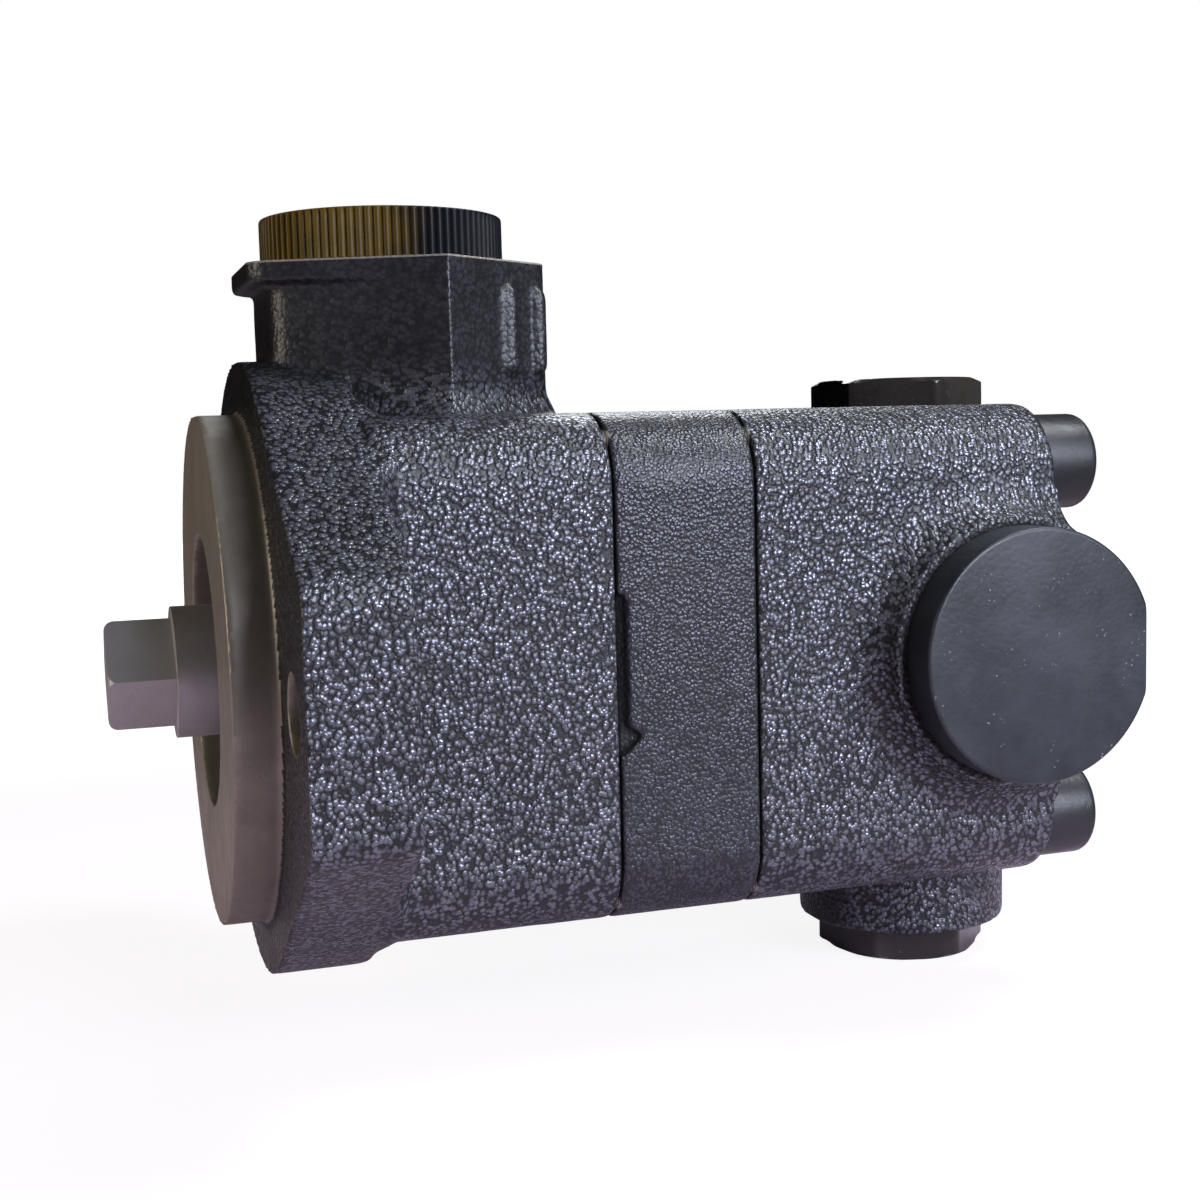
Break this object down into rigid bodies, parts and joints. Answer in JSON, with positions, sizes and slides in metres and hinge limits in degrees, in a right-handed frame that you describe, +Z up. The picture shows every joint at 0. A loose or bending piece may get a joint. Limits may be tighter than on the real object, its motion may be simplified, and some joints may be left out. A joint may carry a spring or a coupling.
{
  "type": "hydraulic vane pump",
  "caption": "Flange-mounted hydraulic vane pump: cast body, cam ring and rear cover, square drive shaft end, capped inlet on top and outlet on the side, built-in flow control valve.",
  "frame": {"origin": "centre of the mounting flange's face, on the drive shaft axis", "axes": "+X along the shaft towards the rear cover, so the shaft end points to -X; +Z up towards the inlet port; the outlet port faces -Y"},
  "size_m": [0.1618, 0.13, 0.1327],
  "materials": {
    "cast_iron_paint": "textured black paint over sand casting",
    "ring_iron": "fine-grained painted iron",
    "screw_steel": "painted steel",
    "plug_steel": "glossy painted steel",
    "ground_steel": "ground",
    "shaft_steel": "turned, oiled",
    "spring_steel": "drawn wire",
    "bushing_bronze": "sintered bronze",
    "cage_steel": "pressed",
    "seal_rubber": "matt",
    "cap_plastic": "moulded, knurled",
    "outlet_plastic": "moulded, smooth"
  },
  "bodies": {
    "housing": {"front_body": "cast_iron_paint", "cam_ring": "ring_iron", "rear_cover": "cast_iron_paint", "cover_screws": "screw_steel", "dowel_pins": "ground_steel", "joint_seals": "seal_rubber", "pressure_plate": "ground_steel", "plate_seal": "seal_rubber", "plate_spring": "spring_steel", "rear_bushing": "bushing_bronze", "shaft_seal": "seal_rubber", "bore_snap_ring": "spring_steel", "bearing_outer_race": "ground_steel", "top_valve_plug": "plug_steel", "bottom_valve_plug": "plug_steel", "valve_plug_seals": "seal_rubber", "valve_spring": "spring_steel"},
    "shaft": {"drive_shaft": "shaft_steel", "shaft_snap_ring": "spring_steel", "bearing_inner_race": "ground_steel", "rotor": "ground_steel"},
    "bearing_cage": {"bearing_cage": "cage_steel", "bearing_balls": "ground_steel"},
    "spool": {"flow_spool": "ground_steel", "relief_screw": "ground_steel", "relief_spring": "spring_steel"},
    "relief_ball": {"relief_ball": "ground_steel"},
    "inlet_cap": {"inlet_cap": "cap_plastic"},
    "outlet_cap": {"outlet_cap": "outlet_plastic"},
    "vane_01": {"vane_01": "ground_steel"},
    "vane_02": {"vane_02": "ground_steel"},
    "vane_03": {"vane_03": "ground_steel"},
    "vane_04": {"vane_04": "ground_steel"},
    "vane_05": {"vane_05": "ground_steel"},
    "vane_06": {"vane_06": "ground_steel"},
    "vane_07": {"vane_07": "ground_steel"},
    "vane_08": {"vane_08": "ground_steel"},
    "vane_09": {"vane_09": "ground_steel"},
    "vane_10": {"vane_10": "ground_steel"}
  },
  "joints": [
    {"name": "shaft_spin", "type": "hinge", "parent": "housing", "child": "shaft", "pos_m": [0, 0, 0], "axis": [1, 0, 0], "continuous": true},
    {"name": "cage_spin", "type": "hinge", "parent": "housing", "child": "bearing_cage", "pos_m": [0, 0, 0], "axis": [1, 0, 0], "continuous": true},
    {"name": "vane_01_slide", "type": "slide", "parent": "shaft", "child": "vane_01", "axis": [0, 0.9511, 0.309], "range_m": [0, 0.000258]},
    {"name": "vane_02_slide", "type": "slide", "parent": "shaft", "child": "vane_02", "axis": [0, 0.5878, 0.809], "range_m": [0, 0.00177]},
    {"name": "vane_03_slide", "type": "slide", "parent": "shaft", "child": "vane_03", "axis": [0, 0, 1], "range_m": [0, 0.0027]},
    {"name": "vane_04_slide", "type": "slide", "parent": "shaft", "child": "vane_04", "axis": [0, -0.5878, 0.809], "range_m": [0, 0.00177]},
    {"name": "vane_05_slide", "type": "slide", "parent": "shaft", "child": "vane_05", "axis": [0, -0.9511, 0.309], "range_m": [0, 0.000258]},
    {"name": "vane_06_slide", "type": "slide", "parent": "shaft", "child": "vane_06", "axis": [0, -0.9511, -0.309], "range_m": [0, 0.000258]},
    {"name": "vane_07_slide", "type": "slide", "parent": "shaft", "child": "vane_07", "axis": [0, -0.5878, -0.809], "range_m": [0, 0.00177]},
    {"name": "vane_08_slide", "type": "slide", "parent": "shaft", "child": "vane_08", "axis": [0, 0, -1], "range_m": [0, 0.0027]},
    {"name": "vane_09_slide", "type": "slide", "parent": "shaft", "child": "vane_09", "axis": [0, 0.5878, -0.809], "range_m": [0, 0.00177]},
    {"name": "vane_10_slide", "type": "slide", "parent": "shaft", "child": "vane_10", "axis": [0, 0.9511, -0.309], "range_m": [0, 0.000258]},
    {"name": "spool_slide", "type": "slide", "parent": "housing", "child": "spool", "axis": [0, 0, 1], "range_m": [0, 0.007], "stiffness_N_per_m": 2500, "springref_m": -0.012, "deforming": ["valve_spring"]},
    {"name": "relief_lift", "type": "slide", "parent": "spool", "child": "relief_ball", "axis": [0, 0, -1], "range_m": [0, 0.001], "stiffness_N_per_m": 3000, "springref_m": -0.004, "deforming": ["relief_spring"]},
    {"name": "inlet_cap_pull", "type": "slide", "parent": "housing", "child": "inlet_cap", "axis": [0, 0, 1], "range_m": [0, 0.06]},
    {"name": "outlet_cap_pull", "type": "slide", "parent": "housing", "child": "outlet_cap", "axis": [0, -1, 0], "range_m": [0, 0.06]}
  ],
  "couplings": [
    {"joint": "cage_spin", "follows": "shaft_spin", "ratio": 0.4}
  ]
}
